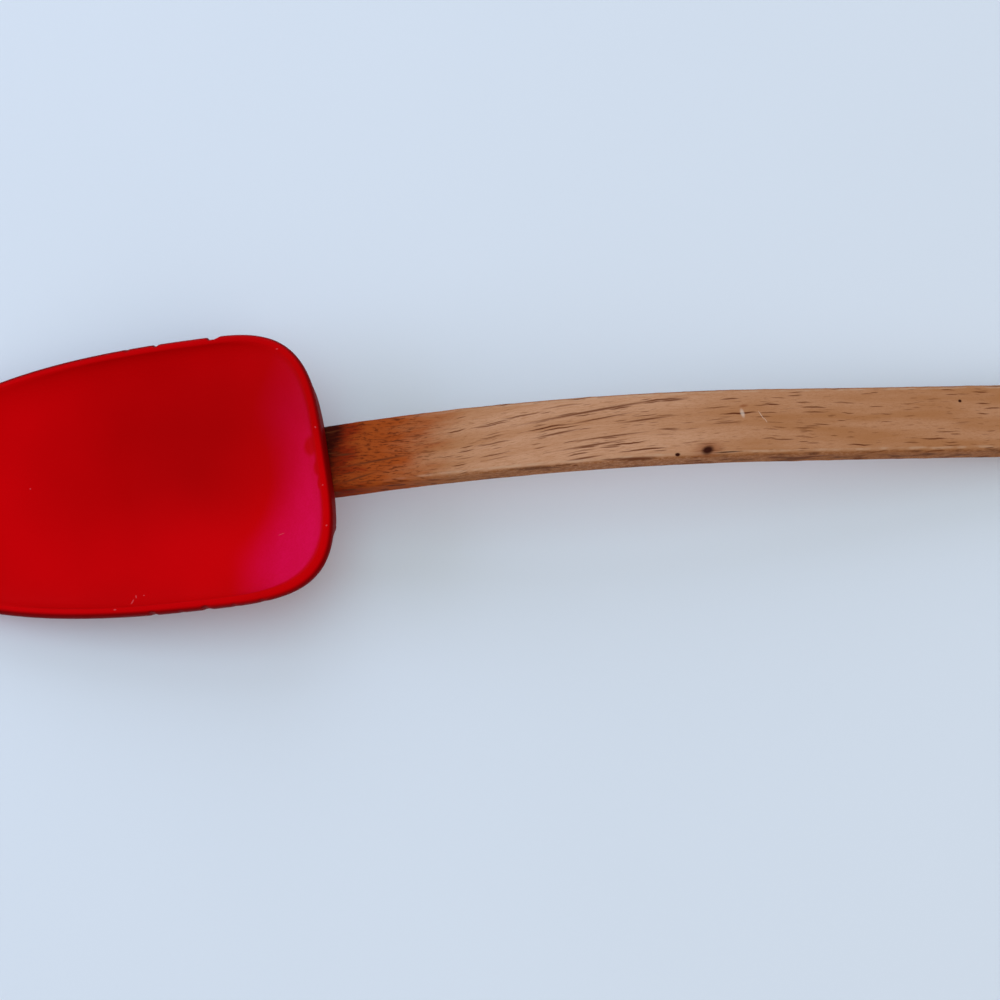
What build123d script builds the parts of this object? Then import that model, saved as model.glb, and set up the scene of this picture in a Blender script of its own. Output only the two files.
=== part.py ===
from build123d import *

import os
from math import asin, atan2, copysign, cos, hypot, pi, radians, sin

os.makedirs("parts", exist_ok=True)

# Spoon spatula: a moulded silicone scoop over a nylon core, pulled onto the tenon of a bent beech handle.
# Sizes are millimetres and degrees. X runs from the scoop's tip to the handle's end, Z is up, and the
# spatula lies at rest on Z = 0, on the scoop's belly and the handle's end.

# Scoop, seen square to its rim
scoop_length = 108.0
scoop_width = 64.2
widest_from_rear = 30.0
rim_wall = 1.4
rim_chamfer = 0.4
rear_squareness = 3.4
front_squareness = 2.4
deep_squareness = 2.1

# Bowl and belly, measured down from the rim
bowl_depth = 8.4
bowl_low_from_rear = 48.0
belly_depth = 13.4
belly_low_from_rear = 40.0
lip_height = 1.8

# How the bowl and the belly close in with depth: (power, root) towards the rear, the front and the sides
bowl_rear_shares = (1.8, 0.8)
bowl_front_shares = (1.0, 0.65)
bowl_side_shares = (2.6, 0.5)
belly_rear_shares = (3.0, 0.5)
belly_front_shares = (1.0, 0.55)
belly_side_shares = (1.8, 0.55)
ring_level_shares = (0.0, 0.15, 0.35, 0.57, 0.76, 0.9, 0.975)
ring_points = 24

# Handle
handle_thickness = 6.8
handle_width = 15.5
handle_width_end = 16.4
handle_rounding = 1.2
end_corner_radius = 6.5
neck_length = 7.2
bend_radius = 238.0
bend_angle = 23.5
grip_length = 98.5
flat_share = 0.7
hang_hole_radius = 3.2
hang_hole_from_end = 13.0
hang_hole_chamfer = 0.4

# Joint between handle and scoop
handle_below_rim = 4.27
handle_dive = 4.0
mouth_setback = 2.5
mouth_depth = 2.5
mouth_clearance = 0.3
tenon_length = 26.0
tenon_width = 12.6
tenon_thickness = 3.8
tenon_drop = 1.3
tenon_chamfer = 0.8
tenon_clearance = 0.15
shoulder_gap = 0.1
tenon_end_gap = 0.5

# Nylon core
core_wall = 1.0
core_end_wall = 1.6
core_skin = 1.3
core_plate = 1.6
core_front_from_rear = 69.0
core_width = 28.0
core_blade_length = 30.0
core_corner_radius = 10.0
core_neck_width = 16.0
core_rib_width = 2.0
core_rib_length = 26.0
core_rib_depth = 3.6
sleeve_corner_radius = 1.2
key_hole_radius = 1.9
key_hole_spacing_long = 8.0
key_hole_spacing_wide = 14.0
key_hole_rows = 3
key_hole_columns = 2

# Boss under the bowl, which carries the mouth and the sleeve
boss_length = 48.0
boss_width = 31.0
boss_front_width = 19.0
boss_end_width = 8.0
boss_wall = 1.6
boss_end_below = 0.4
boss_end_above = 2.5
boss_corner_share = 0.42
boss_taper_share = 0.6

overrun = 2.0


def closing(level, shares):
    """Share of a reach that is left at a level of depth, from 1 at the rim to 0 at the lowest point."""
    power, root = shares
    return (1 - level**power) ** root


def between(start, end, share):
    """Value that lies a share of the way from start to end."""
    return start + (end - start) * share


def ring_at(level, inset, low_from_rear, rear_shares, front_shares, side_shares):
    """Rear end, front end, widest place and half width of the ring at a level, measured from the rear rim."""
    rear = low_from_rear - (low_from_rear - inset) * closing(level, rear_shares)
    front = low_from_rear + (scoop_length - inset - low_from_rear) * closing(level, front_shares)
    widest = between(widest_from_rear, low_from_rear, level)
    half = (scoop_width / 2 - inset) * closing(level, side_shares)
    return rear, front, widest, half


def ring_outline(rear, front, widest, half, level):
    """Points of a closed rounded outline, squarer at the rear than at the front."""
    points = []
    for step in range(ring_points):
        turn = 2 * pi * step / ring_points
        ahead = cos(turn) > 0
        squareness = between(front_squareness if ahead else rear_squareness, deep_squareness, level)
        reach = front - widest if ahead else widest - rear
        along = copysign(reach * abs(cos(turn)) ** (2 / squareness), cos(turn))
        across = copysign(half * abs(sin(turn)) ** (2 / squareness), sin(turn))
        points.append((-(widest + along), across))
    return points


def chord_parameters(points):
    """Place of each point along its closed outline, as a share of the way round by straight chords."""
    reached = [0.0]
    for here, there in zip(points, points[1:] + points[:1]):
        reached.append(reached[-1] + hypot(there[0] - here[0], there[1] - here[1]))
    return [distance / reached[-1] for distance in reached]


def outline_face(plane, points):
    """Flat face inside a smooth closed line through the points, which are spaced as on the rim's outline."""
    with BuildSketch(plane) as face:
        with BuildLine():
            add(Edge.make_spline(points, periodic=True, parameters=ring_parameters))
        make_face()
    return face.sketch


def bowl_ring(level, inset):
    """Sizes of the bowl's ring at a level, which starts at an inset from the scoop's outline."""
    return ring_at(level, inset, bowl_low_from_rear, bowl_rear_shares, bowl_front_shares, bowl_side_shares)


def bowl_rings(drop):
    """Sections of the bowl's hollow from the rim's chamfer down, moved down by drop."""
    sections = []
    for share in ring_level_shares:
        level = between(rim_chamfer / bowl_depth, 1.0, share)
        plane = rim_plane.offset(-(drop + level * bowl_depth))
        sections.append(outline_face(plane, ring_outline(*bowl_ring(level, rim_wall), level)))
    return sections


def bowl_keel_depth(from_rear):
    """Depth of the bowl's middle line at a distance from the rear rim."""
    ahead = from_rear > bowl_low_from_rear
    power, root = bowl_front_shares if ahead else bowl_rear_shares
    end = scoop_length - rim_wall if ahead else rim_wall
    share = (from_rear - bowl_low_from_rear) / (end - bowl_low_from_rear)
    return bowl_depth * (1 - share ** (1 / root)) ** (1 / power)


def rim_ring(depth, inset):
    """Section of the upright rim at a depth and an inset from the scoop's outline."""
    return outline_face(rim_plane.offset(-depth), ring_outline(*bowl_ring(0.0, inset), 0.0))


def belly_ring_depth(level):
    """Depth below the rim of the belly's ring at a level."""
    return between(lip_height, belly_depth, level)


def belly_ring(level):
    """Sizes of the belly's ring at a level."""
    return ring_at(level, 0, belly_low_from_rear, belly_rear_shares, belly_front_shares, belly_side_shares)


def belly_rings():
    """Sections of the belly from the lip's lower edge down."""
    sections = []
    for level in ring_level_shares:
        plane = rim_plane.offset(-belly_ring_depth(level))
        sections.append(outline_face(plane, ring_outline(*belly_ring(level), level)))
    return sections


ring_parameters = chord_parameters(ring_outline(*belly_ring(0.0), 0.0))

# Side view in the scoop's own axes: the first value runs back from the rear rim, the second up from it
mouth_middle = Vector(-mouth_setback, -handle_below_rim - handle_thickness / 2 / cos(radians(handle_dive)))
handle_out = Vector(cos(radians(handle_dive)), sin(radians(handle_dive)))
handle_up = Vector(-handle_out.Y, handle_out.X)
shoulder = mouth_middle - handle_out * mouth_depth
bend_start = shoulder + handle_out * neck_length
bend_centre = bend_start - handle_up * bend_radius
grip_slope = radians(bend_angle - handle_dive)
grip_out = Vector(cos(grip_slope), -sin(grip_slope))
grip_up = Vector(-grip_out.Y, grip_out.X)
bend_end = bend_centre + grip_up * bend_radius
handle_end = bend_end + grip_out * grip_length
end_round_low = handle_end - grip_out * handle_rounding - grip_up * (handle_thickness / 2 - handle_rounding)
end_round_high = end_round_low + grip_up * (handle_thickness - 2 * handle_rounding)

# At rest the table touches the belly's keel and the rounded lower edge of the handle's end
keel_samples = 400
keel = []
for step in range(keel_samples):
    level = step / keel_samples
    keel.append(Vector(-belly_ring(level)[1], -belly_ring_depth(level)))
rest_tilt = 0.0
for number, point in enumerate(keel):
    span = end_round_low - point
    table_angle = atan2(span.Y, span.X) - asin(handle_rounding / hypot(span.X, span.Y))
    if number == 0 or -table_angle < rest_tilt:
        rest_tilt = -table_angle

tilt_cos = cos(rest_tilt)
tilt_sin = sin(rest_tilt)
tip_reach = -scoop_length * tilt_cos + rim_chamfer * tilt_sin
end_reach = end_round_high.X * tilt_cos - end_round_high.Y * tilt_sin + handle_rounding
rear_x = -(tip_reach + end_reach) / 2
rear_z = handle_rounding - end_round_low.X * tilt_sin - end_round_low.Y * tilt_cos

rim_plane = Plane(origin=(rear_x, 0, rear_z), x_dir=(tilt_cos, 0, tilt_sin), z_dir=(-tilt_sin, 0, tilt_cos))
side_plane = Plane(origin=rim_plane.origin, x_dir=rim_plane.x_dir, z_dir=(0, -1, 0))


def in_world(point):
    """Place in the part's frame of a point of the side view."""
    return rim_plane.from_local_coords(Vector(point.X, 0, point.Y))


def world_direction(arrow):
    """Direction in the part's frame of an arrow of the side view."""
    return in_world(arrow) - rim_plane.origin


def square_plane(point, ahead):
    """Plane through a point of the side view, facing ahead, with its first axis across the spatula."""
    return Plane(origin=in_world(point), x_dir=(0, 1, 0), z_dir=world_direction(ahead))


# Places on the joint's axis, which dips into the scoop
tenon_start = shoulder - handle_up * tenon_drop
sleeve_start = tenon_start - handle_out * shoulder_gap
bore_depth = tenon_length - shoulder_gap + tenon_end_gap
bore_width = tenon_width + 2 * tenon_clearance
bore_thickness = tenon_thickness + 2 * tenon_clearance
sleeve_width = bore_width + 2 * core_wall
sleeve_thickness = bore_thickness + 2 * core_wall
sleeve_length = bore_depth + core_end_wall
sleeve_end = sleeve_start - handle_out * sleeve_length

# Handle: the bent side view cut to the plan, with a tenon below the middle of its front end
grip_plane = Plane(
    origin=in_world(handle_end), x_dir=world_direction(grip_out), z_dir=world_direction(grip_up)
)
plan_start = (shoulder - handle_end).dot(grip_out) - handle_thickness
plan_reach = abs((shoulder - handle_end).dot(grip_up)) + handle_thickness + overrun

hole_middle = handle_end - grip_out * hang_hole_from_end
half = handle_thickness / 2


def looks_up_or_down(face):
    """Whether a face of the handle is one of its broad ones."""
    return abs(face.normal_at().dot(grip_plane.z_dir)) > flat_share


with BuildPart() as handle:
    with BuildSketch(side_plane):
        with BuildLine():
            top_neck = Line(shoulder + handle_up * half, bend_start + handle_up * half)
            top_bend = RadiusArc(top_neck @ 1, bend_end + grip_up * half, bend_radius + half)
            top_grip = Line(top_bend @ 1, handle_end + grip_up * half)
            end_face = Line(top_grip @ 1, handle_end - grip_up * half)
            low_grip = Line(end_face @ 1, bend_end - grip_up * half)
            low_bend = RadiusArc(low_grip @ 1, bend_start - handle_up * half, -(bend_radius - half))
            low_neck = Line(low_bend @ 1, shoulder - handle_up * half)
            Line(low_neck @ 1, top_neck @ 0)
        make_face()
    extrude(amount=handle_width_end, both=True)
    with BuildSketch(grip_plane) as plan:
        with BuildLine():
            left_side = Line((plan_start, handle_width / 2), (-grip_length, handle_width / 2))
            left_flare = TangentArc(left_side @ 1, (0, handle_width_end / 2), tangent=(1, 0))
            right_side = Line((plan_start, -handle_width / 2), (-grip_length, -handle_width / 2))
            right_flare = TangentArc(right_side @ 1, (0, -handle_width_end / 2), tangent=(1, 0))
            Line(left_flare @ 1, right_flare @ 1)
            Line(left_side @ 0, right_side @ 0)
        make_face()
        fillet(plan.vertices().sort_by(Axis.X)[-2:], radius=end_corner_radius)
    extrude(amount=plan_reach, both=True, mode=Mode.INTERSECT)
    flat_faces = handle.faces().filter_by(looks_up_or_down)
    wall_faces = handle.faces() - flat_faces
    shoulder_face = handle.faces().sort_by(Axis.X)[0]
    long_edges = (flat_faces.edges() & wall_faces.edges()) - shoulder_face.edges()
    fillet(long_edges, radius=handle_rounding)
    with BuildSketch(Plane(origin=in_world(hole_middle), z_dir=grip_plane.z_dir)):
        Circle(hang_hole_radius)
    extrude(amount=handle_thickness, both=True, mode=Mode.SUBTRACT)
    hole_wall = handle.faces().filter_by(GeomType.CYLINDER).sort_by_distance(in_world(hole_middle))[0]
    chamfer(hole_wall.edges().filter_by(GeomType.CIRCLE), length=hang_hole_chamfer)
    with BuildSketch(square_plane(tenon_start, -handle_out)):
        Rectangle(tenon_width, tenon_thickness)
    extrude(amount=tenon_length)
    chamfer(handle.faces().sort_by(Axis.X)[0].edges(), length=tenon_chamfer)

handle.part.label = "handle"
export_step(handle.part, "parts/handle.step")

# Nylon core: a spoon-shaped blade that follows the bowl, with a sleeve and a rib behind it
blade_back = core_blade_length - core_front_from_rear
neck_front = sleeve_end.X + core_end_wall
blade_stations = (core_front_from_rear, bowl_low_from_rear, -neck_front)
blade_points = [Vector(-far, -bowl_keel_depth(far) - core_skin) for far in blade_stations]
plate_down = Vector(0, core_plate)
rib_low = sleeve_end - handle_up * (sleeve_thickness / 2) + handle_out * core_end_wall
rib_front = Vector(rib_low.X - core_rib_length, -(bowl_depth + core_skin + core_plate / 2))

with BuildPart() as core_blank:
    with BuildSketch(side_plane):
        with BuildLine():
            upper_face = ThreePointArc(*blade_points)
            Line(upper_face @ 1, upper_face @ 1 - plate_down)
            lower_face = ThreePointArc(*(upper_face @ share - plate_down for share in (1, 0.5, 0)))
            Line(lower_face @ 1, upper_face @ 0)
        make_face()
    extrude(amount=core_width, both=True)
    with BuildSketch(rim_plane):
        with Locations((blade_back - core_blade_length / 2, 0)):
            RectangleRounded(core_blade_length, core_width, core_corner_radius)
        with Locations(((neck_front + blade_back - core_corner_radius) / 2, 0)):
            Rectangle(neck_front - blade_back + core_corner_radius, core_neck_width)
    extrude(amount=-(belly_depth + core_plate), mode=Mode.INTERSECT)
    with BuildSketch(rim_plane):
        with Locations((blade_back - core_blade_length / 2, 0)):
            with GridLocations(key_hole_spacing_long, key_hole_spacing_wide, key_hole_rows, key_hole_columns):
                Circle(key_hole_radius)
    extrude(amount=-(belly_depth + core_plate), mode=Mode.SUBTRACT)
    with BuildSketch(square_plane(sleeve_start, -handle_out)):
        RectangleRounded(sleeve_width, sleeve_thickness, sleeve_corner_radius)
    extrude(amount=sleeve_length)
    with BuildSketch(side_plane):
        with BuildLine():
            Polyline(rib_low, rib_front, rib_low + handle_up * core_rib_depth, close=True)
        make_face()
    extrude(amount=core_rib_width / 2, both=True)

with BuildPart() as head_core:
    add(core_blank.part)
    with BuildSketch(square_plane(sleeve_start, -handle_out)):
        Rectangle(bore_width, bore_thickness)
    extrude(amount=bore_depth, mode=Mode.SUBTRACT)

head_core.part.label = "head_core"
export_step(head_core.part, "parts/head_core.step")

# Silicone scoop: lip, belly and boss, less the bowl, the mouth and the core inside
mouth_start = mouth_middle + handle_out * (mouth_setback + overrun)
boss_start = tenon_start + handle_out * mouth_depth


def boss_section(distance, width, below, above):
    """Rounded section of the boss at a distance into the scoop along the joint's axis."""
    middle = boss_start - handle_out * distance + handle_up * ((above - below) / 2)
    with BuildSketch(square_plane(middle, -handle_out)) as section:
        RectangleRounded(width, above + below, (above + below) * boss_corner_share)
    return section.sketch


boss_below = sleeve_thickness / 2 + boss_wall
boss_above = sleeve_thickness / 2 + core_skin
boss_middle_width = between(boss_width, boss_front_width, boss_taper_share)
sleeve_reach = mouth_depth + sleeve_length

with BuildPart() as silicone_head:
    loft(sections=[rim_ring(0, rim_chamfer), rim_ring(rim_chamfer, 0), rim_ring(lip_height, 0)], ruled=True)
    loft(sections=belly_rings())
    loft(
        sections=[
            boss_section(0, boss_width, boss_below, boss_above),
            boss_section(sleeve_reach / 2, boss_middle_width, boss_below, boss_above),
            boss_section(sleeve_reach, boss_front_width, boss_below, boss_above),
            boss_section(boss_length, boss_end_width, boss_end_below, boss_end_above),
        ],
        ruled=True,
    )
    loft(sections=bowl_rings(0), mode=Mode.SUBTRACT)
    loft(sections=[rim_ring(0, rim_wall - rim_chamfer), bowl_rings(0)[0]], ruled=True, mode=Mode.SUBTRACT)
    with BuildSketch(square_plane(mouth_start, -handle_out)):
        RectangleRounded(
            handle_width + 2 * mouth_clearance,
            handle_thickness + 2 * mouth_clearance,
            handle_rounding + mouth_clearance,
        )
    extrude(amount=overrun + mouth_setback + mouth_depth + shoulder_gap, mode=Mode.SUBTRACT)
    add(core_blank.part, mode=Mode.SUBTRACT)

silicone_head.part.label = "silicone_head"
export_step(silicone_head.part, "parts/silicone_head.step")
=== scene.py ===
import logging
import math
from dataclasses import dataclass
from enum import Enum

import bpy
import numpy as np
from mathutils import Matrix, Vector


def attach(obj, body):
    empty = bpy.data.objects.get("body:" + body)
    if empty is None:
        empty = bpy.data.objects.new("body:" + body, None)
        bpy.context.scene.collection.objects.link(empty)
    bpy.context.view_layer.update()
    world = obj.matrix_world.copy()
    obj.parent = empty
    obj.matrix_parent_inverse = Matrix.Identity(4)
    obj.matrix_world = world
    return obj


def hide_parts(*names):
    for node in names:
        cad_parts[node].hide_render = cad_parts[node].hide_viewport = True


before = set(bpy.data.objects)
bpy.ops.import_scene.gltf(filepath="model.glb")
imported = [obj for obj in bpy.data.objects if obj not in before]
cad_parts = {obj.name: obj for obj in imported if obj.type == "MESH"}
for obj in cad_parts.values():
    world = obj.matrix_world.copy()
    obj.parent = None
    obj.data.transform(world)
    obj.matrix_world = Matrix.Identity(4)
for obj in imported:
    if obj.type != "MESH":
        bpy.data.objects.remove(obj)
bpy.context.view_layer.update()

log = logging.getLogger("spatula")

MM = 0.001
REST_TILT = math.radians(9.93)
REAR_RIM = np.array((-45.74, 0.0, 22.72))
LEVEL = (1.0, 1.0, 0.0)

Point = tuple[float, float, float]
Colour = tuple[float, float, float]
Socket = bpy.types.NodeSocket


def between(start: float, end: float, share: float) -> float:
    """Value that lies a share of the way from start to end."""
    return start + (end - start) * share


def smooth(low: float, high: float, values: np.ndarray) -> np.ndarray:
    """Soft step.

    Args:
        low: Value where the step begins.
        high: Value where the step ends, which may be the lower one.
        values: Values to read.

    Returns:
        0 before the step, 1 after it, and a soft slope between.
    """
    share = np.clip((values - low) / (high - low), 0.0, 1.0)
    return share * share * (3.0 - 2.0 * share)


class Tree:
    """Writes the nodes of a shader or a geometry tree, one call for each node."""

    def __init__(self, tree: bpy.types.NodeTree) -> None:
        """Takes the tree that the nodes go into."""
        self.tree = tree

    def feed(self, socket: Socket, value: object) -> None:
        """Links a socket to another node's output, or sets its value."""
        if isinstance(value, bpy.types.NodeSocket):
            self.tree.links.new(value, socket)
        elif value is not None:
            socket.default_value = value

    def node(self, kind: str, inputs: dict | None = None, **settings: object) -> bpy.types.Node:
        """Adds a node.

        Args:
            kind: Blender's name for the node.
            inputs: Values or outputs for its sockets, by name or number.
            **settings: The node's own properties.

        Returns:
            The node.
        """
        made = self.tree.nodes.new(kind)
        for name, value in settings.items():
            setattr(made, name, value)
        for key, value in (inputs or {}).items():
            self.feed(made.inputs[key], value)
        return made

    def math(self, operation: str, *values: object, clamp: bool = False) -> Socket:
        """Adds a math node and returns its output.

        Args:
            operation: The operation's name, such as ADD.
            *values: One to three numbers or outputs.
            clamp: Whether the result is kept between 0 and 1.

        Returns:
            The node's output.
        """
        made = self.node("ShaderNodeMath", dict(enumerate(values)), operation=operation, use_clamp=clamp)
        return made.outputs[0]

    def times(self, first: object, second: object) -> Socket:
        """Product of two values."""
        return self.math("MULTIPLY", first, second)

    def plus(self, first: object, second: object) -> Socket:
        """Sum of two values."""
        return self.math("ADD", first, second)

    def minus(self, first: object, second: object, clamp: bool = False) -> Socket:
        """First value less the second, kept between 0 and 1 if clamp says so."""
        return self.math("SUBTRACT", first, second, clamp=clamp)

    def larger(self, first: object, second: object) -> Socket:
        """The larger of two values."""
        return self.math("MAXIMUM", first, second)

    def smaller(self, first: object, second: object) -> Socket:
        """The smaller of two values."""
        return self.math("MINIMUM", first, second)

    def over(self, first: object, second: object, clamp: bool = False) -> Socket:
        """First value divided by the second, kept between 0 and 1 if clamp says so."""
        return self.math("DIVIDE", first, second, clamp=clamp)

    def vector(self, operation: str, *values: object, result: str = "Vector") -> Socket:
        """Adds a vector math node and returns its output.

        Args:
            operation: The operation's name, such as ADD.
            *values: One or two vectors or outputs.
            result: Vector, or Value where the operation gives a number.

        Returns:
            The node's output.
        """
        made = self.node("ShaderNodeVectorMath", dict(enumerate(values)), operation=operation)
        return made.outputs[result]

    def axes(self, vector: Socket) -> bpy.types.NodeOutputs:
        """The three coordinates of a vector."""
        return self.node("ShaderNodeSeparateXYZ", {0: vector}).outputs

    def normal(self) -> Socket:
        """Direction that the shaded surface faces."""
        return self.node("ShaderNodeNewGeometry").outputs["Normal"]

    def step(self, value: Socket, low: object, high: object, start: float = 0.0, end: float = 1.0) -> Socket:
        """Soft step of a value.

        Args:
            value: The output to read.
            low: Value where the step begins.
            high: Value where the step ends.
            start: Result before the step.
            end: Result after the step.

        Returns:
            The node's output.
        """
        inputs = {0: value, 1: low, 2: high, 3: start, 4: end}
        return self.node("ShaderNodeMapRange", inputs, interpolation_type="SMOOTHSTEP").outputs[0]

    def mix(self, share: object, first: object, second: object) -> Socket:
        """Colour that lies a share of the way from the first colour to the second."""
        made = self.node("ShaderNodeMix", {0: share, 6: first, 7: second}, data_type="RGBA")
        return made.outputs[2]

    def scaled(self, vector: Socket, scale: Point, shift: Point = (0.0, 0.0, 0.0)) -> Socket:
        """Coordinates moved by shift and then stretched by scale."""
        return self.vector("MULTIPLY", self.vector("ADD", vector, shift), scale)

    def noise(self, vector: Socket, scale: float, detail: float = 2.0, roughness: float = 0.5) -> Socket:
        """Noise from 0 to 1 over the coordinates."""
        inputs = {"Vector": vector, "Scale": scale, "Detail": detail, "Roughness": roughness}
        return self.node("ShaderNodeTexNoise", inputs).outputs[0]


def opaque(colour: Colour) -> tuple[float, float, float, float]:
    """A colour with its alpha."""
    return (*colour, 1.0)


@dataclass(frozen=True)
class Mark:
    """A small mark on a surface, seen from above."""

    x: float
    y: float
    length: float
    width: float
    turn: float = 0.0
    soft: float = 0.35


class Finish:
    """A material whose nodes are written by a subclass, on Object coordinates in millimetres."""

    name = "finish"

    def build(self) -> bpy.types.Material:
        """Makes the material."""
        made = bpy.data.materials.new(self.name)
        made.use_nodes = True
        made.node_tree.nodes.clear()
        tree = Tree(made.node_tree)
        place = tree.node("ShaderNodeTexCoord").outputs["Object"]
        place = tree.scaled(place, (1 / MM, 1 / MM, 1 / MM))
        shader = tree.node("ShaderNodeBsdfPrincipled")
        output = tree.node("ShaderNodeOutputMaterial")
        tree.feed(output.inputs["Surface"], shader.outputs[0])
        self.write(tree, place, shader)
        return made

    def write(self, tree: Tree, place: Socket, shader: bpy.types.Node) -> None:
        """Writes the finish's own nodes.

        Args:
            tree: The material's tree.
            place: Object coordinates in millimetres.
            shader: The surface shader that the nodes feed.
        """
        raise NotImplementedError

    def bump(self, tree: Tree, height: Socket, distance: float, strength: float = 1.0) -> Socket:
        """Normal of a relief.

        Args:
            tree: The material's tree.
            height: Relief from 0 to 1.
            distance: Its depth in millimetres.
            strength: Share of the relief that is used.

        Returns:
            The bump node's output.
        """
        inputs = {"Strength": strength, "Distance": distance * MM, "Height": height}
        return tree.node("ShaderNodeBump", inputs).outputs[0]

    def mark(self, tree: Tree, place: Socket, mark: Mark) -> Socket:
        """Mask of one mark, 1 inside it and 0 outside.

        Args:
            tree: The material's tree.
            place: Object coordinates in millimetres.
            mark: The mark's place and size.

        Returns:
            The mask's output.
        """
        inputs = {
            "Vector": place,
            "Location": (mark.x, mark.y, 0.0),
            "Rotation": (0.0, 0.0, mark.turn),
            "Scale": (mark.length / 2, mark.width / 2, 1.0),
        }
        local = tree.node("ShaderNodeMapping", inputs, vector_type="TEXTURE").outputs[0]
        reach = tree.vector("LENGTH", tree.vector("MULTIPLY", local, LEVEL), result="Value")
        return tree.step(reach, 1.0 + mark.soft, 1.0 - mark.soft)

    def marks(self, tree: Tree, place: Socket, marks: tuple[Mark, ...]) -> Socket:
        """Mask of several marks together, on what faces up."""
        total = None
        for mark in marks:
            mask = self.mark(tree, place, mark)
            total = mask if total is None else tree.larger(total, mask)
        facing = tree.axes(tree.normal())
        return tree.times(total, tree.step(facing[2], 0.0, 0.2))


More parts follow.
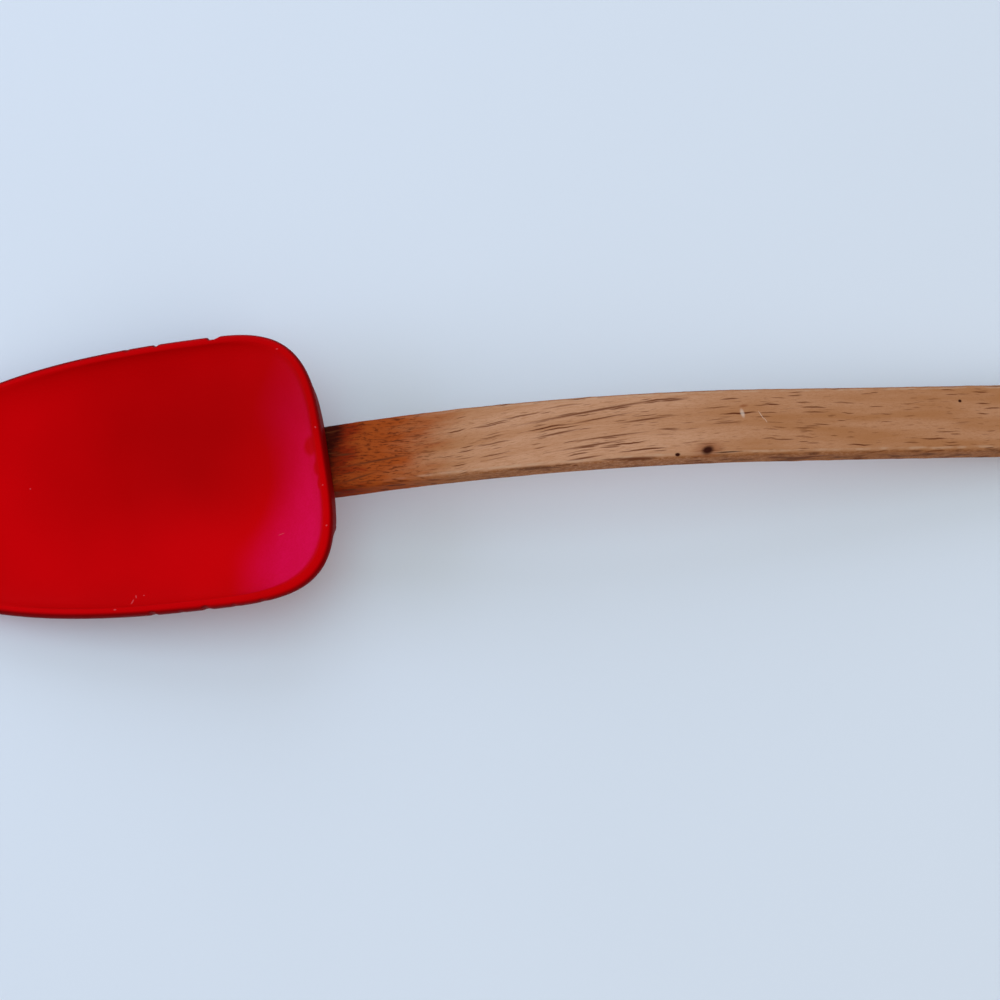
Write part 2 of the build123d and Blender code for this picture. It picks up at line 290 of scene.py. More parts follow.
@dataclass(frozen=True)
class RedSilicone(Finish):
    """Moulded red silicone, worn matt, with a pale film and painted sheen on the scoop's rear wall, painted
    shade in the bowl and on the outer walls, and small scuffs.
    """

    name: str = "red_silicone"
    deep: Colour = (0.430, 0.0001, 0.0004)
    bright: Colour = (0.650, 0.0002, 0.0016)
    # pale pink of the rear wall: part matt film, part painted sheen of the light from the west
    film_and_painted_sheen: Colour = (0.760, 0.0034, 0.0660)
    torn: Colour = (0.780, 0.110, 0.120)
    # painted shade: dark red for the outer walls, which face away from the light
    outside: Colour = (0.150, 0.0001, 0.0003)
    roughness: float = 0.55
    gloss: float = 0.07
    sheen: Colour = (1.0, 0.03, 0.08)
    # painted shade: a soft darker patch in the bowl, on the side away from the light
    painted_shade: Mark = Mark(-76.0, 9.0, 52.0, 30.0, 0.30, 0.95)
    middle: Point = (-98.0, 0.0, 0.0)
    film_and_painted_sheen_middle: tuple[float, float] = (-72.0, -2.0)
    film_and_painted_sheen_reach: tuple[float, float] = (25.0, 30.0)
    scuffs: tuple[Mark, ...] = (
        Mark(-91.0, -27.9, 0.32, 1.3, -0.35), Mark(-90.3, -26.6, 0.28, 0.8, 0.2),
        Mark(-88.5, -26.5, 0.35, 0.25), Mark(-94.3, -30.2, 0.6, 0.3),
        Mark(-47.5, 6.2, 0.3, 0.45, 0.5), Mark(-46.5, -7.4, 0.35, 0.25, 0.3),
        Mark(-46.1, -16.7, 0.45, 0.30, 0.6), Mark(-55.4, 25.9, 0.5, 0.25),
        Mark(-115.2, 2.2, 0.3, 0.3), Mark(-56.6, -16.4, 1.4, 0.16, 0.2),
    )
    wiped: tuple[Mark, ...] = (
        Mark(-48.8, 2.4, 3.2, 4.4), Mark(-47.3, -3.2, 2.2, 3.6, 0.2), Mark(-46.9, -7.0, 1.6, 3.0, 0.2),
        Mark(-45.9, -14.6, 1.0, 1.8),
    )

    def write(self, tree: Tree, place: Socket, shader: bpy.types.Node) -> None:
        """Colour with painted shade in the bowl and on the outer walls, a pale film with painted sheen,
        scuffs and mould grain.
        """
        cloudy = tree.noise(tree.scaled(place, (0.03, 0.03, 0.03)), 1.0, 2.0)
        # painted shade pulls the bowl's colour towards the deep red
        painted_shade = tree.times(self.mark(tree, place, self.painted_shade), 0.9)
        pale = tree.minus(tree.step(cloudy, 0.25, 0.75, 0.6, 1.0), painted_shade, clamp=True)
        colour = tree.mix(pale, opaque(self.deep), opaque(self.bright))
        # pale film on the rear wall, part real film and part painted sheen of the light
        film_and_painted_sheen_mask = self.film_and_painted_sheen_mask(tree, place)
        wiped = self.marks(tree, place, self.wiped)
        film_and_painted_sheen_mask = tree.times(film_and_painted_sheen_mask, tree.math("MULTIPLY_ADD", wiped, -0.9, 1.0))
        colour = tree.mix(film_and_painted_sheen_mask, colour, opaque(self.film_and_painted_sheen))
        # painted shade: the outer walls, facing away from the bowl, turn dark red
        edge = tree.step(self.outward(tree, place), 0.12, 0.75, 0.0, 0.9)
        colour = tree.mix(edge, colour, opaque(self.outside))
        scuffed = tree.times(self.marks(tree, place, self.scuffs), 0.5)
        colour = tree.mix(scuffed, colour, opaque(self.torn))
        tree.feed(shader.inputs["Base Color"], colour)
        smears = tree.noise(tree.scaled(place, (0.05, 0.35, 0.1)), 1.0, 3.0)
        tree.feed(shader.inputs["Roughness"], tree.math("MULTIPLY_ADD", smears, 0.16, self.roughness - 0.08))
        grain = tree.noise(place, 4.0, 3.0, 0.6)
        relief = tree.plus(tree.times(grain, 0.2), tree.noise(place, 0.25, 2.0))
        tree.feed(shader.inputs["Normal"], self.bump(tree, relief, 0.10, 0.5))
        shader.inputs["Specular IOR Level"].default_value = self.gloss
        shader.inputs["Specular Tint"].default_value = opaque(self.sheen)

    def outward(self, tree: Tree, place: Socket) -> Socket:
        """How far the surface faces away from the scoop's middle: 1 outside, below 0 in the bowl."""
        away = tree.vector("MULTIPLY", tree.vector("SUBTRACT", place, self.middle), LEVEL)
        away = tree.vector("NORMALIZE", away)
        return tree.vector("DOT_PRODUCT", tree.normal(), away, result="Value")

    def film_and_painted_sheen_mask(self, tree: Tree, place: Socket) -> Socket:
        """Mask of the pale film and painted sheen: grainy, on the rear wall under the rim, strongest towards
        one corner.
        """
        part = tree.axes(place)
        lower = tree.times(tree.minus(REAR_RIM[2], part[2]), math.cos(REST_TILT))
        behind = tree.minus(part[0], REAR_RIM[0])
        below = tree.math("MULTIPLY_ADD", behind, math.sin(REST_TILT), lower)
        inside = tree.step(self.outward(tree, place), 0.15, -0.05)
        near = tree.times(inside, tree.step(below, 0.10, 1.1))
        back = tree.over(tree.minus(part[0], self.film_and_painted_sheen_middle[0]), self.film_and_painted_sheen_reach[0])
        aside = tree.over(tree.minus(part[1], self.film_and_painted_sheen_middle[1]), self.film_and_painted_sheen_reach[1])
        squares = tree.plus(tree.times(back, back), tree.times(aside, aside))
        outer = tree.step(tree.math("SQRT", squares), 0.50, 0.95)
        turn = tree.math("ARCTAN2", aside, back)
        left = tree.over(tree.minus(0.98, turn), 1.5, clamp=True)
        right = tree.step(turn, -1.45, -0.75)
        grain = tree.noise(place, 2.2, 2.0, 0.7)
        soft = tree.noise(tree.scaled(place, (0.25, 0.12, 0.2)), 1.0, 3.0, 0.6)
        strength = tree.times(tree.times(near, outer), tree.times(left, right))
        strength = tree.times(strength, tree.step(soft, 0.3, 0.7, 0.82, 1.0))
        return tree.times(strength, tree.step(grain, 0.25, 0.75, 0.74, 1.0))


@dataclass(frozen=True)
class Beech(Finish):
    """Worn oiled beech, with long dark flecks along the grain, a water stain at the scoop with a painted
    shadow of its rim, a painted highlight on the edges and painted shade on the sides.
    """

    name: str = "beech"
    light: Colour = (0.61, 0.300, 0.164)
    warm: Colour = (0.445, 0.176, 0.068)
    fleck: Colour = (0.125, 0.026, 0.0075)
    orange: Colour = (0.37, 0.060, 0.0070)
    stain: Colour = (0.235, 0.0180, 0.0025)
    # nearly black: part wet stain, part painted shadow of the scoop's rim on the handle
    soaked: Colour = (0.030, 0.002, 0.001)
    # darker brown of the pores, also used for dirt and painted shade on the side faces
    side: Colour = (0.32, 0.108, 0.034)
    # pale edge colour: part wear, part painted highlight on the rounded edges
    edge: Colour = (0.62, 0.36, 0.22)
    chipped: Colour = (0.80, 0.58, 0.44)
    dark: Colour = (0.040, 0.007, 0.003)
    reddish: Colour = (0.260, 0.060, 0.018)
    # dark brown of the side faces: part grime, part painted shade
    grimy_and_shaded: Colour = (0.120, 0.036, 0.014)
    streak: Colour = (0.070, 0.009, 0.002)
    mouth_x: float = -45.5
    roughness: float = 0.62
    gloss: float = 0.03
    knots: tuple[Mark, ...] = (
        Mark(38.7, -6.4, 2.6, 1.7, 0.3, 0.5), Mark(31.9, -7.1, 1.1, 0.7), Mark(98.4, 3.9, 0.8, 0.7),
        Mark(43.2, -7.0, 5.5, 0.22, 0.02, 0.7),
    )
    halos: tuple[Mark, ...] = (Mark(38.9, -6.3, 5.4, 3.2, 0.2, 0.7), Mark(47.9, 3.6, 1.8, 0.6, 0.1, 0.6))
    streaks: tuple[Mark, ...] = ()
    chips: tuple[Mark, ...] = (
        Mark(47.4, 1.9, 0.8, 1.8, 0.2, 0.6), Mark(51.6, 1.3, 0.14, 2.2, 0.5), Mark(52.5, 0.1, 0.12, 1.2, 0.5),
    )

    def flecks(self, tree: Tree, grain: Socket, size: Point, share: float, reach: float,
               shift: float) -> Socket:
        """Mask of long thin dashes.

        Args:
            tree: The material's tree.
            grain: Coordinates along, across and through the grain, in millimetres.
            size: Size of one cell of the pattern, which holds at most one dash.
            share: Share of the cells that hold one.
            reach: Half size of the largest dash, in cells.
            shift: Moves the pattern along.

        Returns:
            1 inside a dash and 0 outside.
        """
        cells = tree.scaled(grain, tuple(1.0 / length for length in size), (shift, shift, shift))
        pattern = tree.node("ShaderNodeTexVoronoi", {"Vector": cells, "Scale": 1.0, "Randomness": 1.0})
        chance = tree.node("ShaderNodeSeparateColor", {0: pattern.outputs["Color"]}).outputs
        size_here = tree.math("MULTIPLY_ADD", chance[1], reach * 0.6, reach * 0.4)
        dash = tree.step(pattern.outputs["Distance"], size_here, tree.times(size_here, 0.45))
        held = tree.math("LESS_THAN", chance[0], share)
        depth = tree.math("MULTIPLY_ADD", chance[2], 0.5, 0.5)
        return tree.times(tree.times(dash, held), depth)

    def grain(self, tree: Tree, place: Socket) -> Socket:
        """Coordinates that follow the grain, which drifts across the handle and back."""
        part = tree.axes(place)
        drift = tree.times(tree.step(part[0], -26.0, 30.0), 3.6)
        rise = tree.times(tree.step(part[0], -48.0, -18.0), -0.9)
        wander = tree.noise(tree.scaled(place, (0.035, 0.02, 0.02)), 1.0, 2.0)
        ripple = tree.noise(tree.scaled(place, (0.22, 0.15, 0.15)), 1.0, 2.0)
        bend = tree.plus(tree.times(wander, 3.0), tree.times(ripple, 0.8))
        across = tree.minus(part[1], tree.plus(tree.plus(drift, rise), bend))
        return tree.node("ShaderNodeCombineXYZ", {0: part[0], 1: across, 2: part[2]}).outputs[0]

    def write(self, tree: Tree, place: Socket, shader: bpy.types.Node) -> None:
        """Colour, flecks, stain with painted rim shadow, edges with painted highlight, sides with painted
        shade, and raised grain.
        """
        part = tree.axes(place)
        grain = self.grain(tree, place)
        bands = tree.noise(tree.scaled(grain, (0.012, 0.30, 0.20)), 1.0, 3.0)
        fibres = tree.noise(tree.scaled(grain, (0.22, 3.6, 3.6)), 1.0, 3.0, 0.6)
        pores = tree.noise(tree.scaled(grain, (0.9, 8.0, 8.0)), 1.0, 2.0, 0.7)
        pale = tree.times(tree.step(part[0], -25.0, 0.0), tree.step(part[0], 54.0, 24.0))
        dark_bands = tree.step(bands, 0.3, 0.7, 0.45, 1.1)
        blend = tree.minus(dark_bands, tree.times(pale, 0.6), clamp=True)
        colour = tree.mix(blend, opaque(self.light), opaque(self.warm))
        colour = tree.mix(tree.step(fibres, 0.40, 0.72, 0.0, 0.5), colour, opaque(self.warm))
        colour = tree.mix(tree.step(pores, 0.50, 0.78, 0.0, 0.5), colour, opaque(self.side))
        colour = self.worn_sides(tree, grain, colour)
        colour = self.stained(tree, part, grain, colour)
        threads = tree.noise(tree.scaled(grain, (0.13, 2.9, 2.9), (3.0, 11.0, 0.0)), 1.0, 3.0, 0.65)
        in_stain = tree.step(part[0], -12.0, -30.0, 0.0, 0.72)
        threads = tree.times(tree.step(threads, 0.50, 0.66), in_stain)
        colour = tree.mix(threads, colour, opaque(self.streak))
        long_dashes = self.flecks(tree, grain, (18.0, 0.62, 2.2), 0.62, 0.42, 0.0)
        short_dashes = self.flecks(tree, grain, (8.5, 0.56, 2.0), 0.45, 0.40, 17.0)
        fine_dashes = self.flecks(tree, grain, (3.6, 0.36, 1.4), 0.60, 0.40, 31.0)
        dashes = tree.larger(long_dashes, short_dashes)
        dashes = tree.larger(dashes, tree.times(fine_dashes, 0.45))
        lines = tree.times(self.marks(tree, place, self.streaks), 0.85)
        dashes = tree.larger(dashes, lines)
        halo = tree.times(self.marks(tree, place, self.halos), 0.55)
        colour = tree.mix(halo, colour, opaque(self.reddish))
        colour = tree.mix(dashes, colour, opaque(self.fleck))
        chipped = tree.times(self.marks(tree, place, self.chips), 0.6)
        colour = tree.mix(chipped, colour, opaque(self.chipped))
        colour = tree.mix(self.marks(tree, place, self.knots), colour, opaque(self.dark))
        tree.feed(shader.inputs["Base Color"], colour)
        shader.inputs["Roughness"].default_value = self.roughness
        shader.inputs["Specular IOR Level"].default_value = self.gloss
        relief = tree.minus(tree.times(fibres, 0.4), dashes)
        tree.feed(shader.inputs["Normal"], self.bump(tree, relief, 0.08, 0.6))

    def worn_sides(self, tree: Tree, grain: Socket, colour: Socket) -> Socket:
        """Colour with a pale line along the edges, part wear and part painted highlight, and darker, speckled
        side faces, part dirt and part painted shade.

        Args:
            tree: The material's tree.
            grain: Coordinates that follow the grain.
            colour: The colour of the clean wood.

        Returns:
            The colour with its edges and sides.
        """
        aside = tree.math("ABSOLUTE", tree.axes(tree.normal())[1])
        # painted highlight with wear: a pale line where the rounded edges turn
        rubbed_and_highlit = tree.times(tree.step(aside, 0.10, 0.35), tree.step(aside, 0.70, 0.45))
        patchy = tree.noise(tree.scaled(grain, (0.3, 0.6, 0.6)), 1.0, 2.0)
        rubbed_and_highlit = tree.times(rubbed_and_highlit, tree.step(patchy, 0.4, 0.65, 0.1, 0.55))
        colour = tree.mix(rubbed_and_highlit, colour, opaque(self.edge))
        # side faces darker and speckled, part dirt and part painted shade, more so towards the scoop
        speckle = tree.noise(tree.scaled(grain, (1.1, 2.0, 2.0)), 1.0, 3.0, 0.7)
        near_scoop = tree.step(tree.axes(grain)[0], -34.0, -8.0, 0.25, 1.0)
        sideways = tree.times(tree.step(aside, 0.55, 0.9), near_scoop)
        dirt_and_shade = tree.times(sideways, tree.step(speckle, 0.62, 0.42, 0.35, 0.95))
        colour = tree.mix(dirt_and_shade, colour, opaque(self.side))
        patches = tree.noise(tree.scaled(grain, (0.16, 0.5, 0.5), (40.0, 7.0, 3.0)), 1.0, 3.0, 0.65)
        grime_and_shade = tree.times(sideways, tree.step(patches, 0.48, 0.66, 0.0, 0.75))
        return tree.mix(grime_and_shade, colour, opaque(self.grimy_and_shaded))

    def stained(self, tree: Tree, part: object, grain: Socket, colour: Socket) -> Socket:
        """Colour with the water stain at the scoop, and a nearly black band where the wood enters it, part
        wet stain and part painted shadow of the rim.

        Args:
            tree: The material's tree.
            part: Coordinates along, across and up.
            grain: Coordinates that follow the grain.
            colour: The colour of the dry wood.

        Returns:
            The colour of the stained wood.
        """
        cloudy = tree.noise(tree.scaled(grain, (0.10, 0.35, 0.2)), 1.0, 3.0, 0.6)
        streaky = tree.noise(tree.scaled(grain, (0.12, 1.6, 1.0)), 1.0, 2.0, 0.6)
        behind = tree.minus(part[0], self.mouth_x)
        behind = tree.math("MULTIPLY_ADD", part[1], -0.22, behind)
        reach = tree.math("MULTIPLY_ADD", cloudy, -15.0, tree.plus(behind, 7.5))
        reach = tree.math("MULTIPLY_ADD", streaky, -7.0, tree.plus(reach, 3.5))
        inside = tree.step(behind, -16.0, -3.0, 0.3, 1.0)
        for first, last, most, tint in ((32.0, 12.0, 0.97, self.orange), (11.0, 2.0, 1.0, self.stain)):
            soaked = tree.times(inside, tree.step(reach, first, last, 0.0, most))
            colour = tree.mix(soaked, colour, opaque(tint))
        # painted shadow of the rim, together with the wet stain: a nearly black band just outside the mouth
        wet_and_rim_shadow = tree.math("MULTIPLY_ADD", streaky, -4.0, tree.plus(behind, 2.6))
        wet_and_rim_shadow = tree.minus(wet_and_rim_shadow, tree.step(part[1], -1.0, 3.5))
        outside = tree.step(behind, -6.5, -2.5)
        black = tree.times(outside, tree.step(wet_and_rim_shadow, 3.7, 0.3, 0.0, 0.93))
        return tree.mix(black, colour, opaque(self.soaked))


@dataclass(frozen=True)
class CoreNylon(Finish):
    """Matt grey nylon with glass fibre in it."""

    name: str = "core_nylon"
    light: Colour = (0.075, 0.075, 0.08)
    dark: Colour = (0.04, 0.04, 0.045)

    def write(self, tree: Tree, place: Socket, shader: bpy.types.Node) -> None:
        """Colour with short pale fibres, and a fine mould grain."""
        fibres = tree.noise(tree.scaled(place, (1.0, 6.0, 6.0)), 1.0, 4.0, 0.7)
        grain = tree.noise(place, 6.0, 2.0)
        colour = tree.mix(tree.step(fibres, 0.4, 0.7), opaque(self.dark), opaque(self.light))
        tree.feed(shader.inputs["Base Color"], colour)
        tree.feed(shader.inputs["Roughness"], tree.math("MULTIPLY_ADD", grain, 0.2, 0.5))
        tree.feed(shader.inputs["Normal"], self.bump(tree, grain, 0.05, 0.5))


@dataclass(frozen=True)
class PaleBoard(Finish):
    """The plain pale floor."""

    name: str = "pale_floor"
    colour: Colour = (0.82, 0.83, 0.86)

    def write(self, tree: Tree, place: Socket, shader: bpy.types.Node) -> None:
        """Nearly even pale paint."""
        cloudy = tree.noise(tree.scaled(place, (0.01, 0.01, 0.01)), 1.0, 2.0)
        darker = tuple(0.97 * part for part in self.colour)
        tree.feed(shader.inputs["Base Color"], tree.mix(cloudy, opaque(self.colour), opaque(darker)))
        shader.inputs["Roughness"].default_value = 0.8
        shader.inputs["Specular IOR Level"].default_value = 0.0


def mesh_object(name: str, points: np.ndarray, faces: list[tuple[int, ...]]) -> bpy.types.Object:
    """Makes an object at the origin from points in millimetres.

    Args:
        name: The object's name.
        points: One row for each vertex.
        faces: Vertex numbers of each face.

    Returns:
        The object, linked to the scene.
    """
    mesh = bpy.data.meshes.new(name)
    mesh.from_pydata([tuple(point) for point in points * MM], [], faces)
    mesh.validate()
    mesh.shade_smooth()
    made = bpy.data.objects.new(name, mesh)
    bpy.context.scene.collection.objects.link(made)
    return made


def applied(obj: bpy.types.Object) -> None:
    """Turns an object's modifiers into plain mesh."""
    graph = bpy.context.evaluated_depsgraph_get()
    plain = bpy.data.meshes.new_from_object(obj.evaluated_get(graph))
    obj.modifiers.clear()
    obj.data = plain


def combined(obj: bpy.types.Object, other: bpy.types.Object, operation: str) -> None:
    """Cuts, joins or intersects one closed mesh with another, and removes the other."""
    step = obj.modifiers.new("combined", "BOOLEAN")
    step.operation = operation
    step.solver = "EXACT"
    step.object = other
    applied(obj)
    bpy.data.objects.remove(other)


def carve(obj: bpy.types.Object, cutter: bpy.types.Object) -> None:
    """Cuts one closed mesh out of another and removes the cutter."""
    combined(obj, cutter, "DIFFERENCE")


def unite(obj: bpy.types.Object, other: bpy.types.Object) -> None:
    """Joins one closed mesh to another, which it removes."""
    combined(obj, other, "UNION")


def stacked(name: str, rings: list[np.ndarray]) -> bpy.types.Object:
    """Closed mesh through rings of equally many points, whose first and last rings are each one point.

    Args:
        name: The object's name.
        rings: Rows of points in millimetres, anticlockwise seen against the way they are stacked.

    Returns:
        The object.
    """
    count = len(rings[1])
    points = np.vstack(rings)
    last = len(points) - 1
    faces = [(0, 1 + (k + 1) % count, 1 + k) for k in range(count)]
    for ring in range(len(rings) - 3):
        start = 1 + ring * count
        for k in range(count):
            follow = (k + 1) % count
            faces.append((start + k, start + follow, start + count + follow, start + count + k))
    start = last - count
    faces.extend((last, start + k, start + (k + 1) % count) for k in range(count))
    return mesh_object(name, points, faces)


def rounded_rectangle(width: float, height: float, radius: float, steps: int = 8) -> np.ndarray:
    """Points of a rounded rectangle about the origin, anticlockwise."""
    corners = ((1, 1, 0.0), (-1, 1, 0.5), (-1, -1, 1.0), (1, -1, 1.5))
    points = []
    for right, up, turn in corners:
        for step in range(steps + 1):
            angle = math.pi * (turn + step / steps / 2)
            points.append((
                right * (width / 2 - radius) + radius * math.cos(angle),
                up * (height / 2 - radius) + radius * math.sin(angle),
            ))
    return np.array(points)


@dataclass
class JointAxis:
    """Where handle and scoop join, in the scoop's side view: back from the rear rim, and up from it."""

    dive: float = math.radians(4.0)
    below_rim: float = 4.27
    handle_thickness: float = 6.8
    handle_width: float = 15.5
    mouth_setback: float = 2.5
    mouth_depth: float = 2.5
    mouth_clearance: float = 0.3
    tenon_drop: float = 1.3
    tenon_length: float = 26.0
    tenon_width: float = 12.6
    tenon_thickness: float = 3.8
    sleeve_width: float = 14.9
    sleeve_thickness: float = 6.1
    sleeve_length: float = 28.0

    def out(self) -> np.ndarray:
        """Direction along the handle, away from the scoop."""
        return np.array((math.cos(self.dive), math.sin(self.dive)))

    def up(self) -> np.ndarray:
        """Direction square to the handle, upwards."""
        return np.array((-math.sin(self.dive), math.cos(self.dive)))

    def mouth(self) -> np.ndarray:
        """Middle of the mouth."""
        half_height = self.handle_thickness / 2 / math.cos(self.dive)
        return np.array((-self.mouth_setback, -self.below_rim - half_height))

    def shoulder(self) -> np.ndarray:
        """Middle of the handle's shoulder."""
        return self.mouth() - self.out() * self.mouth_depth

    def tenon(self) -> np.ndarray:
        """Middle of the tenon's root."""
        return self.shoulder() - self.up() * self.tenon_drop


def scoop_to_world(points: np.ndarray) -> np.ndarray:
    """Places in the part's frame of points given back from, across and up from the rear rim."""
    back = np.array((math.cos(REST_TILT), 0.0, math.sin(REST_TILT)))
    up = np.array((-math.sin(REST_TILT), 0.0, math.cos(REST_TILT)))
    across = np.array((0.0, 1.0, 0.0))
    return REAR_RIM + points @ np.array((back, across, up))


def side_to_world(point: np.ndarray) -> np.ndarray:
    """Place in the part's frame of a point of the scoop's side view."""
    return scoop_to_world(np.array([(point[0], 0.0, point[1])]))[0]


@dataclass(frozen=True)
class PhotoCamera:
    """The photograph's camera over its table, and how the part lies there, in millimetres."""

    distance: float = 434.0
    lean: float = math.radians(16.0)
    part_turn: float = math.radians(4.25)
    part_shift: tuple[float, float] = (6.74, 7.3)
    field_of_view: float = math.radians(30.0)
    picture_width: float = 1000.0

    def place(self) -> np.ndarray:
        """Where the camera stands over the photograph's table."""
        return self.distance * np.array((0.0, -math.sin(self.lean), math.cos(self.lean)))

    def to_part(self, point: Point) -> Vector:
        """Place in the part's frame of a point of the photograph's table."""
        x, y, z = point
        y -= self.part_shift[1]
        cosine, sine = math.cos(self.part_turn), math.sin(self.part_turn)
        return Vector((x * cosine + y * sine - self.part_shift[0], y * cosine - x * sine, z))

    def through(self, pixel: tuple[float, float], height: float) -> Vector:
        """Place in the part's frame that a pixel shows, at a height above the table."""
        half = self.picture_width / 2
        focal = half / math.tan(self.field_of_view / 2)
        place = self.place()
        up = np.array((0.0, math.cos(self.lean), math.sin(self.lean)))
        ray = -place / self.distance + (half - pixel[1]) / focal * up
        ray[0] += (pixel[0] - half) / focal
        return self.to_part(tuple(place + ray * (height - place[2]) / ray[2]))


class Shell(Enum):
    """The scoop's two surfaces, with how each closes in: (power, root) to rear, front and sides."""

    BOWL = ((1.8, 0.8), (1.0, 0.65), (2.6, 0.5))
    BELLY = ((3.0, 0.5), (1.0, 0.55), (1.8, 0.55))


@dataclass(frozen=True)
class Nick:
    """A tear in the rim, at a place round it in the scoop's plan."""

    ahead: float
    across: float
    length: float
    depth: float


@dataclass
class Scoop:
    """The silicone scoop: bowl, rim, lip, belly, and the boss that holds the handle."""

    joint: JointAxis
    length: float = 108.0
    width: float = 63.4
    widest: float = 30.0
    rim_wall: float = 2.0
    rim_rounding: float = 0.42
    rim_outer: float = 1.25
    rear_squareness: tuple[float, float] = (3.55, 3.9)
    front_squareness: float = 2.4
    deep_squareness: float = 2.1
    bowl_depth: float = 8.4
    bowl_low: float = 48.0
    belly_depth: float = 13.37
    belly_low: float = 40.0
    lip_height: float = 1.8
    boss_widths: tuple[float, float, float, float] = (31.0, 23.8, 19.0, 8.0)
    boss_length: float = 48.0
    boss_below: float = 4.65
    boss_above: float = 4.35
    boss_blend: float = 4.5
    boss_search: float = 14.0
    rear_lean: float = 0.10
    offset_across: float = -0.4
    around: int = 900
    levels: int = 38
    tear_reach: tuple[float, float] = (6.0, 2.2)
    nicks: tuple[Nick, ...] = (
        Nick(23.0, 31.1, 3.6, 0.9), Nick(38.0, 31.2, 1.5, 0.45), Nick(45.3, 30.6, 1.6, 0.45),
        Nick(9.3, -31.0, 1.6, 0.4), Nick(13.2, -31.6, 1.1, 0.3), Nick(17.9, -32.0, 2.0, 0.4),
        Nick(23.8, -32.1, 1.4, 0.35), Nick(29.7, -32.1, 2.2, 0.45), Nick(35.1, -32.1, 1.2, 0.3),
        Nick(41.2, -32.0, 1.8, 0.5),
    )

    def outline(self, turn: np.ndarray, level: float, inset: float, shell: Shell) -> np.ndarray:
        """Ring of a surface at a level of depth.

        Args:
            turn: Angles round the ring.
            level: 0 at the rim and 1 at the lowest point.
            inset: How far the surface lies inside the scoop's outline at the rim.
            shell: Which surface.

        Returns:
            Rows of distance back from the rear rim and distance across.
        """
        low = self.bowl_low if shell is Shell.BOWL else self.belly_low
        closing = [max(0.0, 1.0 - level**power) ** root for power, root in shell.value]
        rear = low - (low - inset) * closing[0]
        front = low + (self.length - inset - low) * closing[1]
        widest = between(self.widest, low, level)
        half = (self.width / 2 - inset) * closing[2]
        ahead = np.cos(turn) > 0
        rear_square = np.where(np.sin(turn) > 0, self.rear_squareness[1], self.rear_squareness[0])
        square = between(np.where(ahead, self.front_squareness, rear_square), self.deep_squareness, level)
        reach = np.where(ahead, front - widest, widest - rear)
        along = np.copysign(reach * np.abs(np.cos(turn)) ** (2 / square), np.cos(turn))
        across = np.copysign(half * np.abs(np.sin(turn)) ** (2 / square), np.sin(turn))
        return np.column_stack((-(widest + along), across))

    def turns(self) -> np.ndarray:
        """Angles that space the points evenly round the rim."""
        fine = np.linspace(0.0, 2 * math.pi, 8 * self.around + 1)
        rim = self.outline(fine, 0.0, 0.0, Shell.BELLY)
        reached = np.concatenate(([0.0], np.cumsum(np.hypot(*np.diff(rim, axis=0).T))))
        return np.interp(np.linspace(0.0, reached[-1], self.around + 1)[:-1], reached, fine)

    def rings(self) -> tuple[list[np.ndarray], int]:
        """Rings from the bowl's lowest point over the rim to the belly's lowest point.

        Returns:
            The rings, back, across and up from the rear rim, and the number of the first ring under the lip.
        """
        turn = self.turns()
        rings = [np.array([(-self.bowl_low, 0.0, -self.bowl_depth)])]

        def ring(level: float, inset: float, depth: float, shell: Shell) -> None:
            flat = self.outline(turn, level, inset, shell)
            if shell is Shell.BELLY:
                lower = float(smooth(*self.tear_reach, np.array(depth)))
                flat = self.torn(flat, max(0.0, 1.0 - inset / self.rim_outer / 1.6) * lower)
            rings.append(np.column_stack((flat, np.full(len(flat), -depth))))

        shares = [math.sin(math.pi / 2 * k / self.levels) for k in range(self.levels)]
        start = self.rim_rounding / self.bowl_depth
        for share in reversed(shares):
            level = between(start, 1.0, share)
            ring(level, self.rim_wall, level * self.bowl_depth, Shell.BOWL)
        radius = self.rim_rounding
        for share in (0.25, 0.5, 0.75, 1.0):
            turned = share * math.pi / 2
            inset = self.rim_wall - radius * (1 - math.cos(turned))
            ring(0.0, inset, radius * (1 - math.sin(turned)), Shell.BOWL)
        radius = self.rim_outer
        for share in (0.0, 0.15, 0.3, 0.45, 0.6, 0.75, 0.9, 1.0):
            turned = share * math.pi / 2
            ring(0.0, radius * (1 - math.sin(turned)), radius * (1 - math.cos(turned)), Shell.BELLY)
        for depth in (1.4, 1.6):
            ring(0.0, 0.0, depth, Shell.BELLY)
        lip = len(rings)
        for share in shares:
            ring(share, 0.0, between(self.lip_height, self.belly_depth, share), Shell.BELLY)
        rings.append(np.array([(-self.belly_low, 0.0, -self.belly_depth)]))
        return rings, lip

    def torn(self, flat: np.ndarray, share: float) -> np.ndarray:
        """Ring with its tears: each nick pushes the edge in towards the scoop's middle.

        Args:
            flat: Rows of distance back from the rear rim and distance across.
            share: Share of the nicks' depth that the ring takes.

        Returns:
            The ring's new rows.
        """
        moved = flat.copy()
        inward = np.array((-self.length / 2, 0.0)) - flat
        inward /= np.linalg.norm(inward, axis=1, keepdims=True)
        for nick in self.nicks:
            apart = np.hypot(flat[:, 0] + nick.ahead, flat[:, 1] - nick.across)
            bite = smooth(nick.length / 2 + 0.2, nick.length / 6, apart) * nick.depth * share
            moved += inward * bite[:, None]
        return moved

